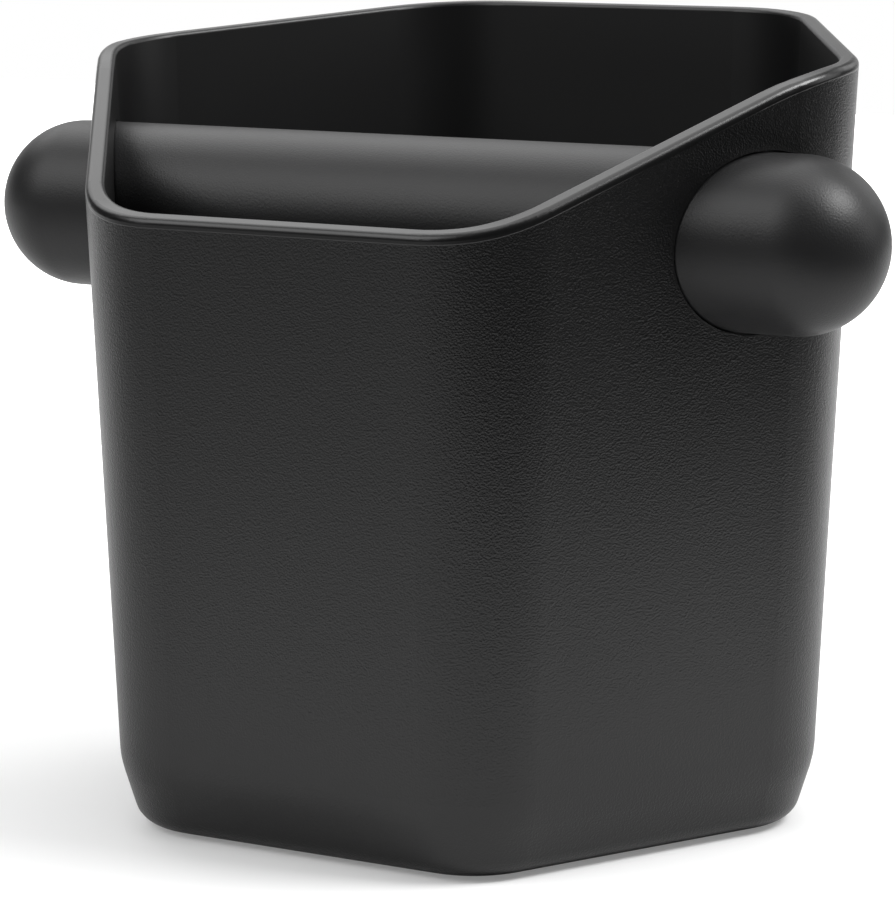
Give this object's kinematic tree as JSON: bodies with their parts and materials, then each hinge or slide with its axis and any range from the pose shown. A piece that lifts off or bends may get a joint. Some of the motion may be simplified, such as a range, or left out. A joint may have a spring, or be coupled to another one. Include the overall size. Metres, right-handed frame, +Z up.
{
  "type": "espresso knock box",
  "caption": "Six-sided moulded tub with a ramped rim, a non-slip pad and a rubber-covered knock bar with domed ends that turns in its holes and slides out of them sideways.",
  "frame": {"origin": "centre of the base pad's lower face, on the table", "axes": "+X along the knock bar towards its right end, -Y towards the low side of the rim, +Z up"},
  "size_m": [0.1788, 0.1381, 0.1452],
  "materials": {
    "tub": "fine grained black moulding, smooth inside",
    "base_pad": "matte non-slip rubber",
    "bar_core": "drawn steel tube",
    "left_core_plug": "rigid black plastic",
    "right_core_plug": "rigid black plastic",
    "bar_cover": "smooth matte rubber"
  },
  "bodies": {
    "tub": {"tub": "tub", "base_pad": "base_pad"},
    "bar_core": {"bar_core": "bar_core", "left_core_plug": "left_core_plug", "right_core_plug": "right_core_plug"},
    "bar_cover": {"bar_cover": "bar_cover"}
  },
  "joints": [
    {"name": "bar_pull", "type": "slide", "parent": "tub", "child": "bar_core", "axis": [1, 0, 0], "range_m": [-0.17, 0.17]},
    {"name": "bar_turn", "type": "hinge", "parent": "bar_core", "child": "bar_cover", "pos_m": [0.00165, -0.0184, 0.1095], "axis": [1, 0, 0], "continuous": true}
  ]
}
